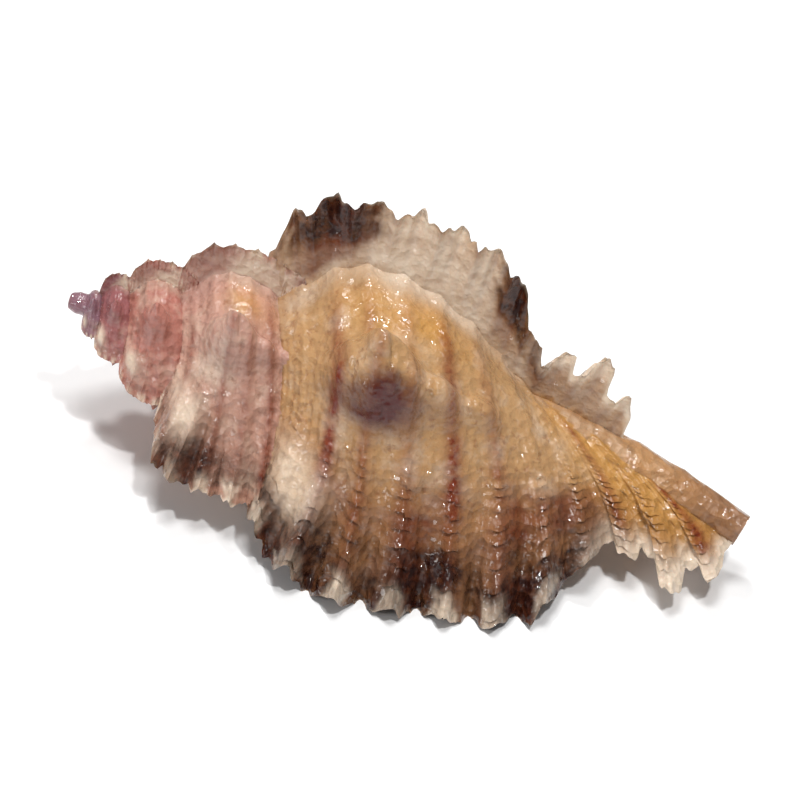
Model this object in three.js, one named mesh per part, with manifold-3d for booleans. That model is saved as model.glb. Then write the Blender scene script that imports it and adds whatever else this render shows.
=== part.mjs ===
// A murex shell: a spired sea snail shell that grew in thirds of a whorl, each third ending in a
// frilled varix. It lies aperture down on the edges of its varices. Millimetres, +Z up.
import * as THREE from "three";
import { ParametricGeometry } from "three/addons/geometries/ParametricGeometry.js";
import { mergeVertices } from "three/addons/utils/BufferGeometryUtils.js";
import Module from "manifold-3d";

// Driving dimensions. Every length is that of the last varix, at the lip; older growth is smaller.
const CANAL_TIP = 62; // apex to the end of the siphonal canal, along the axis
const VARICES_PER_WHORL = 3;
const INCREMENTS = 13; // thirds of a whorl after the larval shell
const GROWTH_OUTWARD = 1.6; // per whorl
const GROWTH_ALONG = 1.85; // per whorl
const FLARE_POWER = 7; // how suddenly the growing lip turns up into a varix
const OVERLAP_DEG = 7; // new growth starts under the varix before it

// One row from the suture to the canal: the whorl's wall, then the varix edge above that wall.
const WALL_TO_VARIX = [
  { wall: [19.0, 0.0], edge: [19.0, 0.0] },
  { wall: [21.3, 6.0], edge: [19.2, 11.0] },
  { wall: [24.0, 8.4], edge: [21.0, 17.4] },
  { wall: [27.5, 11.6], edge: [25.4, 20.2] },
  { wall: [31.0, 12.7], edge: [30.4, 21.2] },
  { wall: [35.5, 12.2], edge: [35.6, 21.2] },
  { wall: [40.0, 10.3], edge: [40.4, 20.4] },
  { wall: [44.5, 7.6], edge: [44.9, 18.4] },
  { wall: [48.0, 5.4], edge: [48.4, 12.0] },
  { wall: [51.0, 4.0], edge: [51.6, 8.6] },
  { wall: [55.0, 3.1], edge: [56.2, 9.8] },
  { wall: [59.0, 2.3], edge: [60.4, 6.8] },
  { wall: [62.0, 0.0], edge: [62.0, 0.0] },
];
const VARIX_RISE = [1, 0.9, 1, 1.3, 0.7, 0.8]; // newest first, the last one for all that are older

// Spiral cords run round the whorl, and each ends in a frond on the varix.
const CORDS = 13;
const CORD_HEIGHT = 0.22;
const CORD_FADE = 3; // cords die away where the whorl is slimmer than this
const FROND_SHARE = 0.05; // of the varix height, on the whorl
const CANAL_FROND_SHARE = 0.2;
const CANAL_FRONDS_FROM = 47;
const CANAL_FRONDS_FULL = 53;
const FLUTE_DEG = 3.2; // how far a frond is bent back from the face of the varix
const WORN_FRILL = 0.4; // what is left of the fronds on the older whorls

// Knobs stand on the shoulder between two varices; half sizes are along the axis, outwards and around.
const KNOBS = [
  { along: 30.4, out: 10.8, half: [4.4, 4.9, 3.8] },
  { along: 36.8, out: 10.4, half: [2.3, 2.7, 2.0] },
  { along: 41.0, out: 8.6, half: [1.9, 2.1, 1.7] },
];
const KNOB_SHARE = 0.47; // of the way from one varix to the next
const KNOBBED_INCREMENTS = 6; // the older ones are too worn

// The columella is a smooth pillar on the axis. It becomes the siphonal canal, a tapering tube that
// bends towards the lip, with a groove along its under side and an open end.
const PILLAR_START = 22;
const PILLAR_RADII = [0.8, 2.6, 3.7, 3.6, 2.8, 2.1, 1.5];
const BEND_START = 38;
const CANAL_BEND = 4;
const CANAL_BORE = 0.9;
const CANAL_BORE_DEPTH = 6;
const GROOVE_RADIUS = 0.7;
const GROOVE = [
  { along: 39.5, out: 6.2, degrees: 4 },
  { along: 43, out: 3.7, degrees: 42 },
  { along: 47, out: 2.9, degrees: 64 },
  { along: 52, out: 2.35, degrees: 72 },
  { along: 57, out: 1.8, degrees: 76 },
  { along: 63, out: 1.3, degrees: 80 },
];

// The mouth is an egg-shaped hollow that follows the whorl back from the lip.
const MOUTH_ALONG = 33.5;
const MOUTH_OUT = 7.4;
const MOUTH_HALF_ALONG = 8.2;
const MOUTH_HALF_OUT = 3.7;
const MOUTH_NARROWING = 0.16; // towards the canal
const MOUTH_SKEW = 0.08; // the canal end lies nearer to the axis
const MOUTH_TURN_DEG = 200;
const MOUTH_LEAD_DEG = 14; // clears the face of the lip
const MOUTH_DEEP_SHARE = 0.55; // the size left at its deep end

// The larval shell, a smooth blunt knob at the very tip.
const LARVAL_ALONG = 1.6;
const LARVAL_RADIUS = 0.9;
const LARVAL_STRETCH = 1.7;

// How the shell lies: the lip's direction about the axis, the axis's rise to the apex, and the worn flats.
const LIP_DEG = -27;
const APEX_UP_DEG = 4.5;
const WORN_DEPTH = 0.7;

// Facets.
const NEW_ROWS = 52;
const NEW_STATIONS = 9;
const OLD_ROWS = 19;
const OLD_STATIONS = 5;
const STATION_CROWDING = 1.6; // stations crowd towards the varix
const FACE_STATIONS = 2; // steps down the face of a varix
const FACE_SHARE = 2.6; // those steps stop short of the wall

const TURN_DEG = 360;
const SPAN_DEG = TURN_DEG / VARICES_PER_WHORL;
const { clamp, degToRad, lerp, smoothstep } = THREE.MathUtils;
const wasm = await Module();
wasm.setup();

const spline = (points) => new THREE.SplineCurve(points.map(([x, y]) => new THREE.Vector2(x, y)));
const wallCurve = spline(WALL_TO_VARIX.map((row) => row.wall));
const edgeCurve = spline(WALL_TO_VARIX.map((row) => row.edge));
const outwardScale = (degrees) => GROWTH_OUTWARD ** (degrees / TURN_DEG);
const alongScale = (degrees) => GROWTH_ALONG ** (degrees / TURN_DEG);

// A point of the shell from its place along the axis, its distance out, and its angle after the lip.
function place(along, out, degrees, target) {
  const turned = degToRad(LIP_DEG - degrees);
  const lip = degToRad(LIP_DEG);
  const bend = CANAL_BEND * Math.max((along - BEND_START) / (CANAL_TIP - BEND_START), 0) ** 2;
  const y = -out * Math.cos(turned) - bend * Math.cos(lip);
  return target.set(along, y, out * Math.sin(turned) + bend * Math.sin(lip));
}

// A closed surface as a solid.
function solidFrom(geometry) {
  geometry.deleteAttribute("normal");
  geometry.deleteAttribute("uv");
  const merged = mergeVertices(geometry, 1e-4);
  const corners = merged.index.array;
  const triVerts = [];
  for (let i = 0; i < corners.length; i += 3) {
    const [a, b, c] = corners.subarray(i, i + 3);
    if (a !== b && b !== c && c !== a) triVerts.push(a, b, c);
  }
  const mesh = { numProp: 3, vertProperties: merged.attributes.position.array, triVerts: new Uint32Array(triVerts) };
  const solid = new wasm.Manifold(new wasm.Mesh(mesh));
  if (solid.volume() > 0) return solid;
  mesh.triVerts.reverse();
  return new wasm.Manifold(new wasm.Mesh(mesh));
}

// One third of a whorl, from under the last varix to the face of its own.
function increment(age, rows, stations) {
  const end = -age * SPAN_DEG;
  const rise = VARIX_RISE[Math.min(age, VARIX_RISE.length - 1)];
  const frill = age > VARICES_PER_WHORL ? WORN_FRILL : 1;
  const columns = stations + FACE_STATIONS + 2;
  const wall = new THREE.Vector2();
  const edge = new THREE.Vector2();

  const surface = (u, v, target) => {
    wallCurve.getPoint(v, wall);
    edgeCurve.getPoint(v, edge);
    const column = Math.round(u * columns);
    if (column === 0 || column === columns || v === 0 || v === 1) {
      return place(wall.x * alongScale(end), 0, end, target);
    }
    const walked = 1 - (1 - Math.min((column - 1) / stations, 1)) ** STATION_CROWDING;
    const down = clamp((column - 1 - stations) / FACE_SHARE, 0, 1);
    const flare = walked ** FLARE_POWER * (1 - down);
    const degrees = end - (SPAN_DEG + OVERLAP_DEG) * (1 - walked);

    const cord = Math.cos(2 * Math.PI * CORDS * v);
    const onCanal = smoothstep(wall.x, CANAL_FRONDS_FROM, CANAL_FRONDS_FULL);
    const frond = 1 + frill * cord * lerp(FROND_SHARE, CANAL_FROND_SHARE, onCanal);
    const lift = flare * rise * frond;
    const cordHeight = CORD_HEIGHT * cord * (1 - flare) * clamp(wall.y / CORD_FADE, 0, 1);
    const along = wall.x + (edge.x - wall.x) * lift;
    const out = wall.y + (edge.y - wall.y) * lift + cordHeight;
    const bent = degrees - FLUTE_DEG * frill * (1 + cord) * flare;
    return place(along * alongScale(degrees), out * outwardScale(degrees), bent, target);
  };
  return solidFrom(new ParametricGeometry(surface, columns, rows));
}

// One knob on the shoulder of an increment.
function shoulderKnob(age, { along, out, half }) {
  const degrees = (KNOB_SHARE - 1 - age) * SPAN_DEG;
  const scale = outwardScale(degrees);
  const knob = new THREE.SphereGeometry(1, 10, 6);
  knob.scale(half[0] * scale, half[1] * scale, half[2] * scale);
  knob.rotateX(Math.PI - degToRad(LIP_DEG - degrees));
  const { x, y, z } = place(along * alongScale(degrees), out * scale, degrees, new THREE.Vector3());
  knob.translate(x, y, z);
  return solidFrom(knob);
}

function larvalShell() {
  const tip = new THREE.SphereGeometry(LARVAL_RADIUS, 12, 7);
  tip.scale(LARVAL_STRETCH, 1, 1);
  tip.translate(LARVAL_ALONG, 0, 0);
  return solidFrom(tip);
}

// A tube with closed ends along a curve, its radius read from a list along the way.
function taperedTube(curve, radii, sides, steps) {
  const frames = curve.computeFrenetFrames(steps);
  const centre = new THREE.Vector3();
  const surface = (u, v, target) => {
    const ring = Math.round(v * (steps + 2)) - 1;
    const step = clamp(ring, 0, steps);
    curve.getPointAt(step / steps, centre);
    const capped = ring < 0 || ring > steps;
    const at = (step / steps) * (radii.length - 1);
    const low = Math.min(Math.floor(at), radii.length - 2);
    const radius = capped ? 0 : lerp(radii[low], radii[low + 1], at - low);
    const angle = 2 * Math.PI * (u % 1);
    return target
      .copy(centre)
      .addScaledVector(frames.normals[step], radius * Math.cos(angle))
      .addScaledVector(frames.binormals[step], radius * Math.sin(angle));
  };
  return solidFrom(new ParametricGeometry(surface, sides, steps + 2));
}

// The axis of the shell, bent with the canal.
function axisCurve(from, to) {
  const points = [];
  for (let share = 0; share <= 1; share += 1 / 8) {
    points.push(place(lerp(from, to, share), 0, 0, new THREE.Vector3()));
  }
  return new THREE.CatmullRomCurve3(points);
}

function grooveCurve() {
  const points = GROOVE.map(({ along, out, degrees }) => place(along, out, degrees, new THREE.Vector3()));
  return new THREE.CatmullRomCurve3(points);
}

// The hollow of the mouth, as a solid to cut away.
function mouthHollow(sides, steps) {
  const surface = (u, v, target) => {
    const ring = Math.round(v * (steps + 2)) - 1;
    const depth = clamp(ring, 0, steps) / steps;
    const degrees = lerp(MOUTH_LEAD_DEG, -MOUTH_TURN_DEG, depth);
    const size = ring < 0 || ring > steps ? 0 : lerp(1, MOUTH_DEEP_SHARE, depth ** 4);
    const angle = 2 * Math.PI * (u % 1);
    const towardsCanal = Math.cos(angle);
    const halfOut = MOUTH_HALF_OUT * size * (1 - MOUTH_NARROWING * (1 + towardsCanal));
    const along = MOUTH_ALONG + MOUTH_HALF_ALONG * size * towardsCanal;
    const out = MOUTH_OUT * (1 - MOUTH_SKEW * towardsCanal) + halfOut * Math.sin(angle);
    return place(along * alongScale(degrees), out * outwardScale(degrees), degrees, target);
  };
  return solidFrom(new ParametricGeometry(surface, sides, steps + 2));
}

function buildShell() {
  let shell = larvalShell();
  for (let age = 0; age < INCREMENTS; age += 1) {
    const newest = age < VARICES_PER_WHORL;
    shell = shell.add(increment(age, newest ? NEW_ROWS : OLD_ROWS, newest ? NEW_STATIONS : OLD_STATIONS));
    const knobs = KNOBS.slice(0, newest ? KNOBS.length : 1);
    if (age < KNOBBED_INCREMENTS) {
      for (const knob of knobs) shell = shell.add(shoulderKnob(age, knob));
    }
  }
  shell = shell.add(taperedTube(axisCurve(PILLAR_START, CANAL_TIP), PILLAR_RADII, 14, 10));
  shell = shell.subtract(mouthHollow(18, 13));
  shell = shell.subtract(taperedTube(grooveCurve(), [GROOVE_RADIUS, GROOVE_RADIUS], 8, 10));
  const bore = axisCurve(CANAL_TIP - CANAL_BORE_DEPTH, CANAL_TIP + 1);
  return shell.subtract(taperedTube(bore, [CANAL_BORE, CANAL_BORE], 8, 2));
}

// Lays the shell down, wears its lowest edges flat, and puts the origin under its middle.
function layDown(shell) {
  const turned = shell.rotate([0, APEX_UP_DEG, 0]);
  const floorDepth = 100;
  const floor = new THREE.BoxGeometry(4 * floorDepth, 4 * floorDepth, floorDepth);
  floor.translate(0, 0, turned.boundingBox().min[2] + WORN_DEPTH - floorDepth / 2);
  const worn = turned.subtract(solidFrom(floor));
  const { min, max } = worn.boundingBox();
  return worn.translate([-(min[0] + max[0]) / 2, -(min[1] + max[1]) / 2, -min[2]]);
}

function geometryOf(solid) {
  const mesh = solid.getMesh();
  const geometry = new THREE.BufferGeometry();
  geometry.setAttribute("position", new THREE.BufferAttribute(mesh.vertProperties, mesh.numProp));
  geometry.setIndex(new THREE.BufferAttribute(mesh.triVerts, 1));
  geometry.computeVertexNormals();
  return geometry;
}

const shellFinish = new THREE.MeshStandardMaterial({ color: 0xb98d66, roughness: 0.35, metalness: 0 });
const shell = new THREE.Mesh(geometryOf(layDown(buildShell())), shellFinish);
shell.name = "shell";

const murex = new THREE.Group();
murex.add(shell);

export default murex;
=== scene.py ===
"""A murex shell lying mouth down on a pale floor: whorls, varices, canal and mouth as one grown piece."""

import math

import bpy
import numpy as np
from mathutils import Matrix, Vector
from mathutils.kdtree import KDTree


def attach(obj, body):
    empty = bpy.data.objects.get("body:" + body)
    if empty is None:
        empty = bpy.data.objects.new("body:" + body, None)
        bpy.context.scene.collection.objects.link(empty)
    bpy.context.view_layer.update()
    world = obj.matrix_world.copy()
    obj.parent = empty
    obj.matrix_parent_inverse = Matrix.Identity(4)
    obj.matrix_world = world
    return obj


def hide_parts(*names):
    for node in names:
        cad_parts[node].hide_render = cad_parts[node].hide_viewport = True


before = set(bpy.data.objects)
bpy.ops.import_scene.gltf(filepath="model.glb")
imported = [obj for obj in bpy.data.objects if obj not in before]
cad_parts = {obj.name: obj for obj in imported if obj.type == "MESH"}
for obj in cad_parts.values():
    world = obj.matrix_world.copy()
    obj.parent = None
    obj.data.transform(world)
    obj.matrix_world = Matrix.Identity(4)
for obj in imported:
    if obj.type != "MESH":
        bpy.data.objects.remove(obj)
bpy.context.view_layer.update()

# The whorls. The snail laid its shell down in thirds of a whorl: a wall with spiral cords and a shoulder
# knob, then a rest, at which the lip flared out into a varix fringed with fluted fronds. Every third is a
# closed wedge from the axis outwards, in millimetres at the size of the last one, and the axis runs along X.
SPAN_DEG = 120
OVERLAP_DEG = 7
THIRDS = 13
GROWTH_OUTWARD = 1.6
GROWTH_ALONG = 1.85
FLARE_POWER = 7
LIP_DEG = -27
CANAL_TIP = 62
BEND_START = 38
CANAL_BEND = 4
WALL = [
    (19.0, 0.0), (21.3, 6.0), (24.0, 8.4), (27.5, 11.6), (31.0, 12.7), (35.5, 12.2), (40.0, 10.3),
    (44.5, 7.6), (48.0, 5.4), (51.0, 4.0), (55.0, 3.1), (59.0, 2.3), (62.0, 0.0),
]
VARIX_EDGE = [
    (19.0, 0.0), (19.2, 11.0), (21.0, 17.4), (25.4, 20.2), (30.4, 21.2), (35.6, 21.2), (40.4, 20.4),
    (44.9, 18.4), (48.4, 12.0), (51.6, 8.6), (56.2, 9.8), (60.4, 6.8), (62.0, 0.0),
]
VARIX_RISE = (1.0, 0.9, 1.0, 1.3, 0.7, 0.8)
CORDS = 13
CORD_HEIGHT = 0.3
SCALE_DEG = 4.2
FLUTE_DEG = (3.6, 2.2, 2.6, 2.2)
WORN_FRILL = 0.15
FRESH_WEB, WORN_WEB = 0.66, 0.3
FACE_DEPTH = 0.8
CLIMB = 0.16
CLIMB_SHARE = 0.26
KNOB_AT = 0.47
LOBE = (24.6, 1.7, 2.7, 9, 17)
KNOBS = [(30.6, 4.6, 4.2, 14), (36.8, 1.9, 1.8, 8), (41.0, 1.4, 1.6, 7)]
KNOB_LEAN_DEG = 2.2


def smoothstep(low, high, x):
    share = np.clip((x - low) / (high - low), 0, 1)
    return share * share * (3 - 2 * share)


def bell(x, half):
    return np.exp(-((x / half) ** 2))


def spline(knots, share):
    """A smooth curve through knots, read at shares 0 to 1 of the way."""
    knots = np.asarray(knots, float)
    at = share * (len(knots) - 1)
    low = np.minimum(at.astype(int), len(knots) - 2)
    t = (at - low)[:, None]
    before, start = knots[np.maximum(low - 1, 0)], knots[low]
    end, after = knots[low + 1], knots[np.minimum(low + 2, len(knots) - 1)]
    leave, arrive = (end - before) / 2, (after - start) / 2
    cubic = 2 * start - 2 * end + leave + arrive
    square = -3 * start + 3 * end - 2 * leave - arrive
    return ((cubic * t + square) * t + leave) * t + start


def ragged(rng, shares, bumps):
    """An uneven line between -1 and 1 with about that many bumps."""
    return np.interp(shares * bumps, np.arange(bumps + 1), rng.uniform(-1, 1, bumps + 1))


def mottle(rng, rows, columns, bumps_across, bumps_along):
    """An uneven field between -1 and 1, smooth between its random corners."""
    corners = rng.uniform(-1, 1, (bumps_across + 2, bumps_along + 2))
    a = np.linspace(0, bumps_across, rows)
    b = np.linspace(0, bumps_along, columns)
    i, j = a.astype(int), b.astype(int)
    s = smoothstep(0, 1, a - i)[:, None]
    t = smoothstep(0, 1, b - j)[None, :]
    near = corners[i][:, j] * (1 - t) + corners[i][:, j + 1] * t
    far = corners[i + 1][:, j] * (1 - t) + corners[i + 1][:, j + 1] * t
    return near * (1 - s) + far * s


def place(along, out, degrees):
    """Points of the shell from their place along the axis, distance out, and angle after the lip."""
    turned = np.radians(LIP_DEG - degrees)
    lip = math.radians(LIP_DEG)
    bend = CANAL_BEND * np.maximum((along - BEND_START) / (CANAL_TIP - BEND_START), 0) ** 2
    y = -out * np.cos(turned) - bend * math.cos(lip)
    z = out * np.sin(turned) + bend * math.sin(lip)
    return np.stack(np.broadcast_arrays(along, y, z), -1)


MARKS = ("growth", "yellow", "rust", "brown", "dark", "pale", "plum", "scaly", "inside")


def marks(count, **given):
    """One value for every mark at every point, nought where none is given."""
    return {name: np.broadcast_to(given.get(name, 0.0), count).astype(np.float32).ravel() for name in MARKS}


def grow(age, rows, stations, face_steps):
    """One third of a whorl: its points, its faces and the marks that the mantle's edge left on it, with
    painted shade on the knobs' lower halves.
    """
    rng = np.random.default_rng(70 + age)
    end = -age * SPAN_DEG
    across = np.linspace(0, 1, rows + 1)
    wall, edge = spline(WALL, across), spline(VARIX_EDGE, across)
    walked = 1 - (1 - np.linspace(0, 1, stations + 1)) ** 1.6
    walked = np.concatenate([walked, np.ones(face_steps)])[None, :]
    down = np.concatenate([np.zeros(stations + 1), np.linspace(0, FACE_DEPTH, face_steps + 1)[1:]])[None, :]
    front = (down > 0) * 1.0
    grid = (rows + 1, walked.shape[1])
    degrees = end - (SPAN_DEG + OVERLAP_DEG) * (1 - walked)
    v = across[:, None]
    wall_x, wall_y = wall[:, :1], wall[:, 1:]

    # Fronds stand on the cords. On the whorl they make one ruffle, on the canal they are separate fingers.
    frill = WORN_FRILL if age > 3 else 1.0
    rise = VARIX_RISE[min(age, len(VARIX_RISE) - 1)]
    cord = np.cos(2 * np.pi * CORDS * v)
    crest = (1 + cord) / 2
    on_canal = smoothstep(47, 53, wall_x)
    uneven = ragged(rng, across, CORDS)[:, None]
    torn = ragged(rng, across, 110)[:, None] * 0.6 + ragged(rng, across, 47)[:, None] * 0.5
    ruffle = 0.97 + frill * (0.07 * (crest ** 0.7 - 0.5) + 0.06 * uneven + 0.085 * torn)
    reach_out = 1.3 if age == 1 else 1.0
    web = FRESH_WEB if age < 2 else WORN_WEB
    fingers = (web + (1 - web) * smoothstep(0.2, 0.65, crest) + 0.16 * uneven + 0.07 * torn) * reach_out
    flare = walked ** FLARE_POWER * (1 - down)
    lift = flare * rise * (ruffle + (fingers - ruffle) * on_canal)
    climb = CLIMB * np.clip(1 - walked / CLIMB_SHARE, 0, 1) ** 2.4 * (1 - on_canal) * (1 - front)
    if age + 1 == THIRDS:
        climb = climb * 0

    # Knobs on the shoulder, then cords with their scales, which crowd towards the varix.
    between = degrees - (end - SPAN_DEG * (1 - KNOB_AT))
    knob = np.zeros_like(lift)
    for along, height, half, half_deg in KNOBS[: 3 if age < 4 else 1]:
        apart = np.sqrt(((wall_x - along) / half) ** 2 + (between / half_deg) ** 2)
        knob = knob + height * np.exp(-(apart ** 2.7))
    knob = knob * (1 + 0.2 * mottle(np.random.default_rng(9), *grid, 44, 26))
    lobe_x, lobe_height, lobe_half, lobe_half_deg, lobe_back = LOBE
    behind = degrees - end + lobe_back
    apart = np.sqrt(((wall_x - lobe_x) / lobe_half) ** 2 + (behind / lobe_half_deg) ** 2)
    lobe = np.exp(-(apart ** 2.6)) * (1 - front)
    fade = np.clip(wall_y / 3, 0, 1)
    near_varix = smoothstep(0.02, 0.25, flare) + 0.7 * smoothstep(0.1, 0.5, climb)
    step = np.mod(degrees / SCALE_DEG + np.round(v * CORDS) * 0.37 + 0.3 * uneven, 1)
    scale = crest ** 2 * step ** 1.5 * (0.1 + 0.5 * near_varix)
    threads = 0.07 * np.cos(2 * np.pi * CORDS * 4 * v)
    threads = threads * smoothstep(0.25, 0.7, walked) * (1 - 0.5 * flare)
    lumps = 0.16 * mottle(rng, *grid, 30, 26) * (0.7 + near_varix)
    relief = CORD_HEIGHT * (crest ** 1.5 - 0.4) * (1 - 0.6 * flare) + scale + threads + lumps
    bumps = knob + lobe_height * lobe + relief * (1 - front) * (1 - 0.7 * lobe)
    out = wall_y + (edge[:, 1:] - wall_y) * (lift + climb) + bumps * fade
    along = wall_x + (edge[:, :1] - wall_x) * (lift + climb)
    ribs = 0.8 * np.cos(2 * np.pi * CORDS * 3 * v)
    fluted = FLUTE_DEG[min(age, 3)] * frill * (1 + cord * (1 + 0.3 * uneven)) + ribs
    wrinkled = 0.45 * mottle(rng, *grid, 90, 9) * front * (1 - down)
    bent = degrees - (fluted + wrinkled) * flare - KNOB_LEAN_DEG * knob
    points = place(along * GROWTH_ALONG ** (degrees / 360), out * GROWTH_OUTWARD ** (degrees / 360), bent)

    # Pigment follows the cords and deepens at each varix. The plum on each knob's lower half is partly its
    # own colour and partly painted shade.
    spots = mottle(rng, *grid, 34, 30)
    clouds = mottle(rng, *grid, 11, 9)
    fresh = smoothstep(4.5, 2.5, np.float64(age))
    banded = bell(v - 0.2, 0.09) + 0.9 * bell(v - 0.41, 0.05) + bell(v - 0.57, 0.05) + bell(v - 0.7, 0.07)
    if age > 0:
        banded = bell(v - 0.23, 0.1) + bell(v - 0.6, 0.055) + bell(v - 0.73, 0.045)
    banded = np.clip(banded + 0.25 * clouds, 0, 1)
    on_lip = 1.0 if age == 0 else 0.0
    reach = flare * (1 + 0.25 * clouds + 0.15 * spots)
    on_bands = banded * (1 - 0.55 * on_lip) + 0.55 * on_lip
    brown = smoothstep(0.05, 0.32, reach) * on_bands * (1 - 0.65 * on_canal)
    brown = brown * np.where(front > 0, smoothstep(0.05, 0.25, reach), 1) * (1 - lobe)
    dark = smoothstep(0.3, 0.62, reach) * np.clip(banded * 1.1 + 0.25 * spots + 0.42 * on_lip, 0, 1)
    dark = dark * np.where(front > 0, smoothstep(0.3, 0.62, reach), 1) * (1 - lobe) * (1 - 0.8 * on_canal)
    tips = smoothstep(0.74, 0.92, flare) * smoothstep(0.3, 0.8, crest + 0.45 * spots)
    fan = front * smoothstep(1.0, 0.6, flare) * bell(v - 0.43, 0.16)
    bleached = 0.5 if age < 2 else 0.15
    pale = tips * (0.35 + 0.65 * (1 - banded)) + fan + 0.85 * lobe + bleached * front
    pale = np.clip(pale, 0, 1)
    pale = pale * np.where(front > 0, 1 - np.clip(dark + 0.8 * brown, 0, 1), 1)
    pale = np.maximum(pale, on_canal * smoothstep(0.45, 0.9, flare))
    foot = smoothstep(0.17, 0.05, walked + 0.03 * clouds) * bell(v - 0.42, 0.2) * (1 - front)
    pale = np.maximum(pale, 0.85 * foot * (1.0 if age < 2 else 0.3))
    yellow = 0.8 * bell(v - 0.4, 0.13) * bell(walked - 0.24, 0.12) * (1 - front) * (0.8 + 0.4 * clouds)
    yellow = yellow + on_canal * smoothstep(0.9, 0.3, flare) * 0.7
    lines = bell(v * CORDS - np.round(v * CORDS), 0.2) * (0.7 + 0.3 * smoothstep(0.35, 0.8, walked))
    chosen = np.clip(0.3 + 0.9 * ragged(rng, across, CORDS)[:, None] + 1.2 * bell(v - 0.46, 0.03), 0, 1)
    rust = lines * chosen * (0.95 + 0.4 * spots) * (1 - front) * smoothstep(0.08, 0.35, walked)
    rust = rust + 0.6 * front * bell(2 * v * CORDS - np.round(2 * v * CORDS), 0.22) * (0.7 + 0.5 * spots)
    # Plum lies on the main knob's lower half only: its own colour, and painted shade under the knob. Older
    # knobs get a faint plum that is painted shade alone. The canal tip's mauve is its own colour.
    plum = np.clip(knob / 1.1, 0, 1) * smoothstep(2, 8, between + 1 + 4 * clouds)
    plum = plum * bell(wall_x - KNOBS[0][0], 5)
    plum = plum * (1 if age == 0 else 0.15)
    plum = plum + 0.35 * on_canal * front * smoothstep(0.9, 0.5, flare)
    tint = marks(
        grid, growth=-degrees / SPAN_DEG / THIRDS, yellow=yellow * fresh, rust=rust * fresh,
        brown=brown * (0.25 + 0.75 * fresh), dark=dark * (0.1 + 0.9 * fresh), pale=pale, plum=plum,
        scaly=np.clip(0.45 + near_varix, 0, 1) * (1 - 0.75 * front) * (1 - 0.7 * lobe),
    )

    # The ring of points closes on the axis, where first and last column share theirs.
    on_axis = place(wall[:, 0] * GROWTH_ALONG ** (end / 360), 0.0, end)
    inner = points[1:-1].reshape(-1, 3)
    columns = grid[1]
    index = np.full((rows + 1, columns + 2), -1)
    index[:, 0] = index[:, -1] = np.arange(rows + 1)
    index[0, :], index[-1, :] = 0, rows
    index[1:-1, 1:-1] = rows + 1 + np.arange(len(inner)).reshape(rows - 1, columns)
    corners = np.stack([index[:-1, :-1], index[:-1, 1:], index[1:, 1:], index[1:, :-1]], -1).reshape(-1, 4)
    axis_marks = marks(rows + 1, growth=age / THIRDS)
    inner_marks = {name: tint[name].reshape(grid)[1:-1].ravel() for name in MARKS}
    joined = {name: np.concatenate([axis_marks[name], inner_marks[name]]) for name in MARKS}
    return np.concatenate([on_axis, inner]), corners, joined


made_points, made_marks = [], {name: [] for name in MARKS}


def solid(name, points, corners, tint):
    """A closed mesh object, its faces turned outwards, remembered with its marks."""
    faces = [list(dict.fromkeys(face)) for face in corners.tolist()]
    mesh = bpy.data.meshes.new(name)
    mesh.from_pydata(points.tolist(), [], [face for face in faces if len(face) > 2])
    mesh.calc_loop_triangles()
    triangles = np.zeros(len(mesh.loop_triangles) * 3, int)
    mesh.loop_triangles.foreach_get("vertices", triangles)
    a, b, c = points[triangles.reshape(-1, 3)].transpose(1, 0, 2)
    if np.einsum("ij,ij->i", a, np.cross(b, c)).sum() < 0:
        mesh.flip_normals()
    made_points.append(points)
    for mark in MARKS:
        made_marks[mark].append(tint[mark])
    piece = bpy.data.objects.new(name, mesh)
    bpy.context.scene.collection.objects.link(piece)
    return piece


# Rows across, stations along and steps down the varix's face, for each third from the lip back.
FRESH_STEPS = [(250, 104, 26), (230, 96, 34), (190, 76, 22), (150, 60, 18)]
STEPS = FRESH_STEPS + [(104, 40, 10)] * 4 + [(64, 24, 5)] * 5
thirds = [solid(f"third_{age}", *grow(age, *steps)) for age, steps in enumerate(STEPS)]

# The larval shell, a smooth blunt tip of two tiny whorls that the snail hatched with. Later growth
# winds on from it in one piece.
LARVAL_ALONG = 1.6
LARVAL_RADIUS = 1.0
LARVAL_STRETCH = 1.5


def tube(centres, radii, sides):
    """A closed tube of rings round a line of centres: points and faces. Rings face along the line."""
    centres = np.asarray(centres, float)
    radii = np.asarray(radii, float).reshape(len(centres), -1)
    ahead = np.gradient(centres, axis=0)
    ahead /= np.linalg.norm(ahead, axis=1)[:, None]
    side = np.cross(ahead, (0.0, 0.3, 1.0))
    side /= np.linalg.norm(side, axis=1)[:, None]
    up = np.cross(ahead, side)
    turn = np.arange(sides) * 2 * math.pi / sides
    ring = np.cos(turn)[None, :, None] * side[:, None] + np.sin(turn)[None, :, None] * up[:, None]
    points = centres[:, None] + ring * radii[:, :, None]
    return ringed(points, centres[0], centres[-1])


def ringed(rings, first, last):
    """Rings of points closed into a skin, with one point at each end."""
    count, sides = rings.shape[:2]
    grid = np.arange(count * sides).reshape(count, sides)
    turned = np.roll(grid, -1, axis=1)
    quads = np.stack([grid[:-1], turned[:-1], turned[1:], grid[1:]], -1).reshape(-1, 4)
    tail = count * sides
    start = np.stack([np.full(sides, tail), turned[0], grid[0], grid[0]], -1)
    end = np.stack([np.full(sides, tail + 1), grid[-1], turned[-1], turned[-1]], -1)
    points = np.concatenate([rings.reshape(-1, 3), [first, last]])
    return points, np.concatenate([quads, start, end])


polar = np.linspace(0.08, math.pi - 0.08, 22)
larval_x = LARVAL_ALONG - LARVAL_RADIUS * LARVAL_STRETCH * np.cos(polar)
larval_r = LARVAL_RADIUS * np.sin(polar) ** 0.4 * (1 + 0.03 * np.cos(larval_x * 7))
tip_points, tip_faces = tube(np.stack([larval_x, 0 * polar, 0 * polar], -1), larval_r, 28)
tip_piece = solid("larval_tip", tip_points, tip_faces, marks(len(tip_points), growth=1.0))

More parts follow.
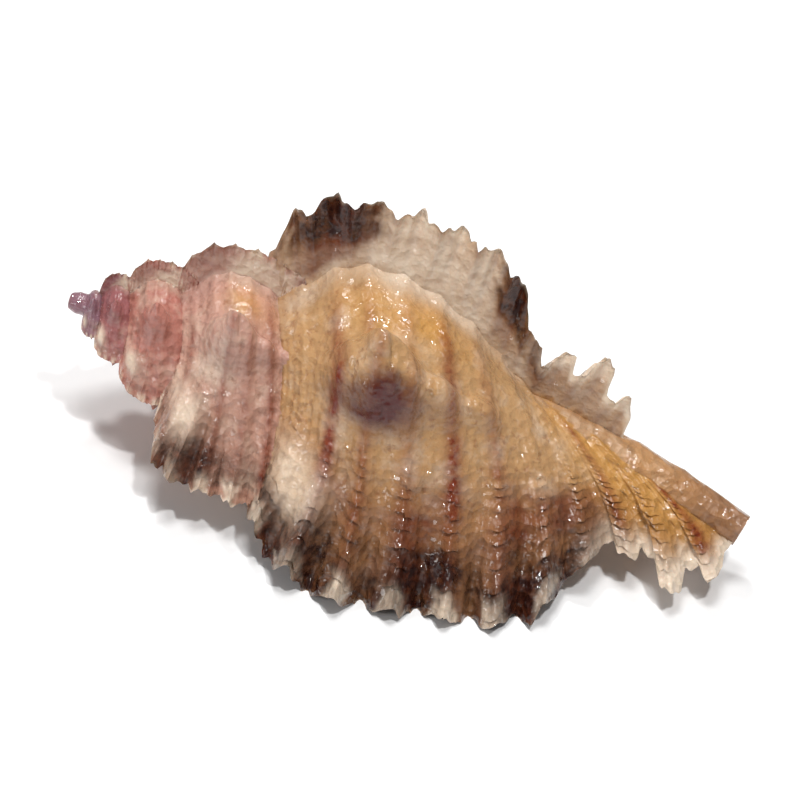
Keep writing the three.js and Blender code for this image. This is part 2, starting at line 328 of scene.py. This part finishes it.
# The columella, the smooth pillar that the whorls wind round. Past the mouth it becomes the siphonal
# canal, a tapering tube bent towards the lip, with a groove along its under side and an open end.
PILLAR_START = 22
PILLAR_RADII = [0.8, 2.6, 3.7, 3.6, 2.8, 2.1, 1.5]
CANAL_BORE = 0.9
BORE_DEPTH = 6
GROOVE_RADIUS = 0.7
PILLAR_RINGS, PILLAR_SIDES = 56, 48
GROOVE = [(39.5, 6.2, 4), (43, 3.7, 42), (47, 2.9, 64), (52, 2.35, 72), (57, 1.8, 76), (63, 1.3, 80)]

pillar_x = np.linspace(PILLAR_START, CANAL_TIP, PILLAR_RINGS)
pillar_r = spline([(r, 0) for r in PILLAR_RADII], np.linspace(0, 1, PILLAR_RINGS))[:, 0]
pillar_bumps = mottle(np.random.default_rng(5), PILLAR_RINGS, PILLAR_SIDES, 30, 16) * 0.16
pillar_bumps = pillar_bumps * smoothstep(40, 46, pillar_x)[:, None]
pillar_points, pillar_faces = tube(place(pillar_x, 0.0, 0.0), pillar_r[:, None] + pillar_bumps, PILLAR_SIDES)
pillar_tint = marks(
    len(pillar_points), yellow=0.25, rust=0.1, growth=0.1, scaly=0.9,
    plum=smoothstep(52, 60, pillar_points[:, 0]) * 0.45,
)
pillar = solid("pillar", pillar_points, pillar_faces, pillar_tint)

groove_path = spline(GROOVE, np.linspace(0, 1, 40))
groove_points, groove_faces = tube(place(*groove_path.T), np.full(40, GROOVE_RADIUS), 18)
# Its walls are darkened: painted shade in the groove.
groove = solid("groove", groove_points, groove_faces, marks(len(groove_points), brown=0.5, growth=0.2))

bore_x = np.linspace(CANAL_TIP - BORE_DEPTH, CANAL_TIP + 1, 12)
bore_points, bore_faces = tube(place(bore_x, 0.0, 0.0), np.full(12, CANAL_BORE), 24)
# The inside of the open end is darkened too: painted shade in the hole.
bore = solid("bore", bore_points, bore_faces, marks(len(bore_points), inside=0.6, brown=0.7))

# The mouth, an egg-shaped hollow that follows the whorl back from the lip. The snail lined its wall with
# a last coat, smooth as porcelain.
MOUTH_ALONG, MOUTH_OUT = 33.5, 7.4
MOUTH_HALF_ALONG, MOUTH_HALF_OUT = 8.2, 3.7
MOUTH_NARROWING, MOUTH_SKEW = 0.16, 0.08
MOUTH_TURN_DEG, MOUTH_LEAD_DEG = 200, 14
MOUTH_DEEP_SHARE = 0.55

depth = np.linspace(0, 1, 60)[:, None]
round_mouth = np.linspace(0, 2 * np.pi, 64, endpoint=False)[None, :]
mouth_deg = MOUTH_LEAD_DEG - (MOUTH_LEAD_DEG + MOUTH_TURN_DEG) * depth
mouth_size = 1 + (MOUTH_DEEP_SHARE - 1) * depth ** 4
to_canal = np.cos(round_mouth)
half_out = MOUTH_HALF_OUT * mouth_size * (1 - MOUTH_NARROWING * (1 + to_canal))
mouth_x = MOUTH_ALONG + MOUTH_HALF_ALONG * mouth_size * to_canal
mouth_r = MOUTH_OUT * (1 - MOUTH_SKEW * to_canal) + half_out * np.sin(round_mouth)
mouth_x = mouth_x * GROWTH_ALONG ** (mouth_deg / 360)
mouth_r = mouth_r * GROWTH_OUTWARD ** (mouth_deg / 360)
mouth_rings = place(mouth_x, mouth_r, mouth_deg)
mouth_points, mouth_faces = ringed(mouth_rings, mouth_rings[0].mean(0), mouth_rings[-1].mean(0))
mouth = solid("mouth", mouth_points, mouth_faces, marks(len(mouth_points), inside=1.0))

# The whole shell. All growth is one piece of lime, hollow at the mouth. It lies mouth down on worn flats
# of its lip, its hind varix and a knob.
APEX_UP_DEG = 4.5
LAID_SHIFT = (-31.13241, 3.38767, 11.49793)
MM = 0.001
SHARP_DEG = 62

laid = Matrix.Translation(LAID_SHIFT) @ Matrix.Rotation(math.radians(APEX_UP_DEG), 4, "Y")
floor_corners = [(x, y, z) for x in (-60, 60) for y in (-60, 60) for z in (-60, 0)]
floor_faces = np.array([(0, 1, 3, 2), (4, 6, 7, 5), (0, 4, 5, 1), (2, 3, 7, 6), (0, 2, 6, 4), (1, 5, 7, 3)])


def combine(target, others, operation):
    """Joins solids to a target or cuts them out of it, and takes them away."""
    for other in others:
        cut = target.modifiers.new(other.name, "BOOLEAN")
        cut.operation = operation
        cut.solver = "MANIFOLD"
        cut.object = other
    bpy.context.view_layer.update()
    whole = bpy.data.meshes.new_from_object(target.evaluated_get(bpy.context.evaluated_depsgraph_get()))
    target.modifiers.clear()
    target.data = whole
    for other in others:
        bpy.data.objects.remove(other)


shell = thirds[0]
shell.name = "shell_piece"
combine(shell, thirds[1:] + [tip_piece, pillar], "UNION")
combine(shell, [mouth, groove, bore], "DIFFERENCE")
tree = KDTree(sum(len(points) for points in made_points))
for number, point in enumerate(np.concatenate(made_points)):
    tree.insert(point, number)
tree.balance()
nearest = np.array([tree.find(vertex.co)[1] for vertex in shell.data.vertices])
shell.data.transform(laid)
floor_points = np.array(floor_corners, float)
ground_cut = solid("ground_cut", floor_points, floor_faces, marks(8))
for mark in MARKS:
    values = np.concatenate(made_marks[mark])[nearest]
    shell.data.attributes.new(mark, "FLOAT", "POINT").data.foreach_set("value", values.astype(np.float32))
combine(shell, [ground_cut], "DIFFERENCE")
shell.data.transform(Matrix.Scale(MM, 4))
shell.data.shade_smooth()
shell.data.set_sharp_from_angle(angle=math.radians(SHARP_DEG))

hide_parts("shell")
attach(shell, "root")


# Its finish: wet, glossy lime with a thin skin. The tip is lilac, the spire pink, the last whorl tan and
# yellow, and the varices run through rust and brown to black, with worn grey-white frond ends.
def paint(red, green, blue):
    """A colour on the usual 0 to 255 scale, as light."""
    return tuple(((c / 255 + 0.055) / 1.055) ** 2.4 for c in (red, green, blue)) + (1.0,)


GROWTH_COLOURS = [
    (0.0, paint(180, 138, 94)), (0.06, paint(184, 144, 100)), (0.1, paint(182, 140, 102)),
    (0.2, paint(184, 144, 122)), (0.3, paint(190, 146, 132)), (0.4, paint(176, 118, 104)),
    (0.6, paint(172, 112, 100)), (0.8, paint(138, 84, 90)), (0.95, paint(136, 100, 110)),
]
YELLOW = paint(190, 134, 50)
RUST = paint(118, 42, 16)
BROWN_AND_SHADE = paint(112, 58, 32)
BLACK_BROWN = paint(44, 17, 11)
PALE = paint(220, 200, 178)
# Dark plum, for the knobs' own colour and the painted shade on their undersides.
PLUM_AND_SHADE = paint(78, 18, 12)
PORCELAIN = paint(214, 194, 184)

lime = bpy.data.materials.new("wet_shell")
lime.use_nodes = True
nodes, links = lime.node_tree.nodes, lime.node_tree.links
gloss = nodes["Principled BSDF"]


def node(kind, **sockets):
    """A shader node with its sockets set, or joined where the value is another node's output."""
    made = nodes.new(kind)
    for name, value in sockets.items():
        socket = made.inputs[name.replace("_", " ")]
        if isinstance(value, bpy.types.NodeSocket):
            links.new(value, socket)
        else:
            socket.default_value = value
    return made


def mark_value(name):
    made = nodes.new("ShaderNodeAttribute")
    made.attribute_name = name
    return made.outputs["Fac"]


def calc(operation, first, second):
    made = nodes.new("ShaderNodeMath")
    made.operation = operation
    made.use_clamp = operation == "MULTIPLY"
    for socket, value in zip(made.inputs, (first, second)):
        if isinstance(value, bpy.types.NodeSocket):
            links.new(value, socket)
        else:
            socket.default_value = value
    return made.outputs[0]


def spread(value, low, high, new_low=0.0, new_high=1.0):
    made = nodes.new("ShaderNodeMapRange")
    links.new(value, made.inputs["Value"])
    for name, number in zip(("From Min", "From Max", "To Min", "To Max"), (low, high, new_low, new_high)):
        made.inputs[name].default_value = number
    return made.outputs["Result"]


def over(below, above, factor):
    """One colour laid over another."""
    made = nodes.new("ShaderNodeMix")
    made.data_type = "RGBA"
    for name, value in (("Factor_Float", factor), ("A_Color", below), ("B_Color", above)):
        socket = next(s for s in made.inputs if s.identifier == name)
        if isinstance(value, bpy.types.NodeSocket):
            links.new(value, socket)
        else:
            socket.default_value = value
    return next(s for s in made.outputs if s.identifier == "Result_Color")


CLOUDS, FLECKS, BEADS, RIPPLES = 260.0, 1300.0, 1150.0, 760.0
RELIEF_DEPTH, WATER_DEPTH = 0.0006, 0.0009

where = nodes.new("ShaderNodeTexCoord").outputs["Object"]
cloud = node("ShaderNodeTexNoise", Vector=where, Scale=CLOUDS, Detail=5.0, Roughness=0.6).outputs["Fac"]
fleck = node("ShaderNodeTexNoise", Vector=where, Scale=FLECKS, Detail=3.0, Roughness=0.6).outputs["Fac"]
bead = node("ShaderNodeTexVoronoi", Vector=where, Scale=BEADS).outputs["Distance"]

colour = nodes.new("ShaderNodeValToRGB")
links.new(mark_value("growth"), colour.inputs["Fac"])
stops = colour.color_ramp.elements
while len(stops) < len(GROWTH_COLOURS):
    stops.new(0.5)
for stop, (at, tone) in zip(stops, GROWTH_COLOURS):
    stop.position, stop.color = at, tone
tone = over(colour.outputs["Color"], PALE, spread(cloud, 0.48, 0.68, 0.0, 0.55))
tone = over(tone, BROWN_AND_SHADE, spread(fleck, 0.44, 0.3, 0.0, 0.4))
broken = spread(fleck, 0.3, 0.7, 0.55, 1.2)
clouded = spread(cloud, 0.3, 0.7, 0.6, 1.25)
pigments = [
    ("yellow", YELLOW), ("rust", RUST), ("brown", BROWN_AND_SHADE), ("dark", BLACK_BROWN),
    ("pale", PALE), ("plum", PLUM_AND_SHADE),
]
# Two of these marks also paint shade: plum on the knobs' lower halves, and the darkening in the canal's
# groove and open end.
for name, paint_over in pigments:
    uneven = broken if name in ("rust", "dark") else clouded
    tone = over(tone, paint_over, calc("MULTIPLY", mark_value(name), uneven))
tone = over(tone, PORCELAIN, mark_value("inside"))
links.new(tone, gloss.inputs["Base Color"])

pebbled = calc("MULTIPLY", bead, spread(mark_value("scaly"), 0.0, 1.0, 0.25, 1.0))
relief = calc("ADD", pebbled, calc("MULTIPLY", fleck, 0.5))
bump = node("ShaderNodeBump", Strength=0.6, Distance=RELIEF_DEPTH, Height=relief)
links.new(bump.outputs["Normal"], gloss.inputs["Normal"])

# A film of water lies over the relief and gives the glints.
ripple = node("ShaderNodeTexNoise", Vector=where, Scale=RIPPLES, Detail=1.0, Roughness=0.4).outputs["Fac"]
water = node("ShaderNodeBump", Strength=0.9, Distance=WATER_DEPTH, Height=ripple)
links.new(water.outputs["Normal"], gloss.inputs["Coat Normal"])
links.new(spread(cloud, 0.3, 0.7, 0.22, 0.38), gloss.inputs["Roughness"])
gloss.inputs["Specular IOR Level"].default_value = 0.2
gloss.inputs["Coat Weight"].default_value = 0.6
gloss.inputs["Coat Roughness"].default_value = 0.06
gloss.inputs["IOR"].default_value = 1.5
gloss.inputs["Subsurface Weight"].default_value = 0.08
gloss.inputs["Subsurface Radius"].default_value = (1.0, 0.5, 0.3)
gloss.inputs["Subsurface Scale"].default_value = 0.0012
shell.data.materials.clear()
shell.data.materials.append(lime)

# The floor, a plain pale sheet that the shell lies on. It is matt, so that it shows the shell's shadow
# and no mirror image.
floor_mesh = bpy.data.meshes.new("floor")
floor_mesh.from_pydata([(-3, -3, 0), (3, -3, 0), (3, 3, 0), (-3, 3, 0)], [], [(0, 1, 2, 3)])
floor = bpy.data.objects.new("floor", floor_mesh)
bpy.context.scene.collection.objects.link(floor)
sheet = bpy.data.materials.new("pale_sheet")
sheet.use_nodes = True
sheet.node_tree.nodes["Principled BSDF"].inputs["Base Color"].default_value = (0.95, 0.95, 0.95, 1)
sheet.node_tree.nodes["Principled BSDF"].inputs["Roughness"].default_value = 0.7
floor.data.materials.append(sheet)

# Soft studio light: a lamp above, two small ones for the wet glints, one low at the left to bring out
# the ribs, and an even room.
LAMPS = [
    ("over", (-0.05, -0.02, 0.42), 0.12, 0.75),
    ("glint", (0.07, -0.13, 0.42), 0.03, 0.8),
    ("spark", (-0.1, 0.16, 0.38), 0.05, 0.55),
    ("front", (-0.38, -0.32, 0.26), 0.16, 0.6),
]
for name, spot, size, power in LAMPS:
    lamp = bpy.data.objects.new(name, bpy.data.lights.new(name, "AREA"))
    lamp.data.size, lamp.data.energy = size, power
    lamp.location = spot
    lamp.rotation_euler = (Vector((0, 0, 0.012)) - Vector(spot)).to_track_quat("-Z", "Y").to_euler()
    bpy.context.scene.collection.objects.link(lamp)
room = bpy.data.worlds.new("room")
room.use_nodes = True
room.node_tree.nodes["Background"].inputs["Color"].default_value = (1, 1, 1, 1)
room.node_tree.nodes["Background"].inputs["Strength"].default_value = 0.2
bpy.context.scene.world = room

# The camera: close, above the lip, looking at the shoulder knob, and turned a little about its own line
# of sight.
CAMERA_DISTANCE = 0.26
CAMERA_UP_DEG = 36
CAMERA_ROLL_DEG = 12
LENS_MM, SENSOR_MM = 136.4, 36
AIM_HEIGHT = 0.0135
AIM_RIGHT, AIM_ABOVE = -0.00146, -0.00189

rise, roll = math.radians(CAMERA_UP_DEG), math.radians(CAMERA_ROLL_DEG)
back = Vector((0, -math.cos(rise), math.sin(rise)))
level, upward = Vector((1, 0, 0)), Vector((0, math.sin(rise), math.cos(rise)))
right = math.cos(roll) * level + math.sin(roll) * upward
above = -math.sin(roll) * level + math.cos(roll) * upward
aim = Vector((0, 0, AIM_HEIGHT)) + AIM_RIGHT * right + AIM_ABOVE * above
camera = bpy.data.objects.new("camera", bpy.data.cameras.new("camera"))
turned = Matrix((right, above, back)).transposed().to_4x4()
camera.matrix_world = Matrix.Translation(aim + CAMERA_DISTANCE * back) @ turned
camera.data.lens = LENS_MM
camera.data.sensor_width = SENSOR_MM
camera.data.clip_start = 0.01
bpy.context.scene.collection.objects.link(camera)
bpy.context.scene.camera = camera
bpy.context.scene.view_settings.view_transform = "Standard"
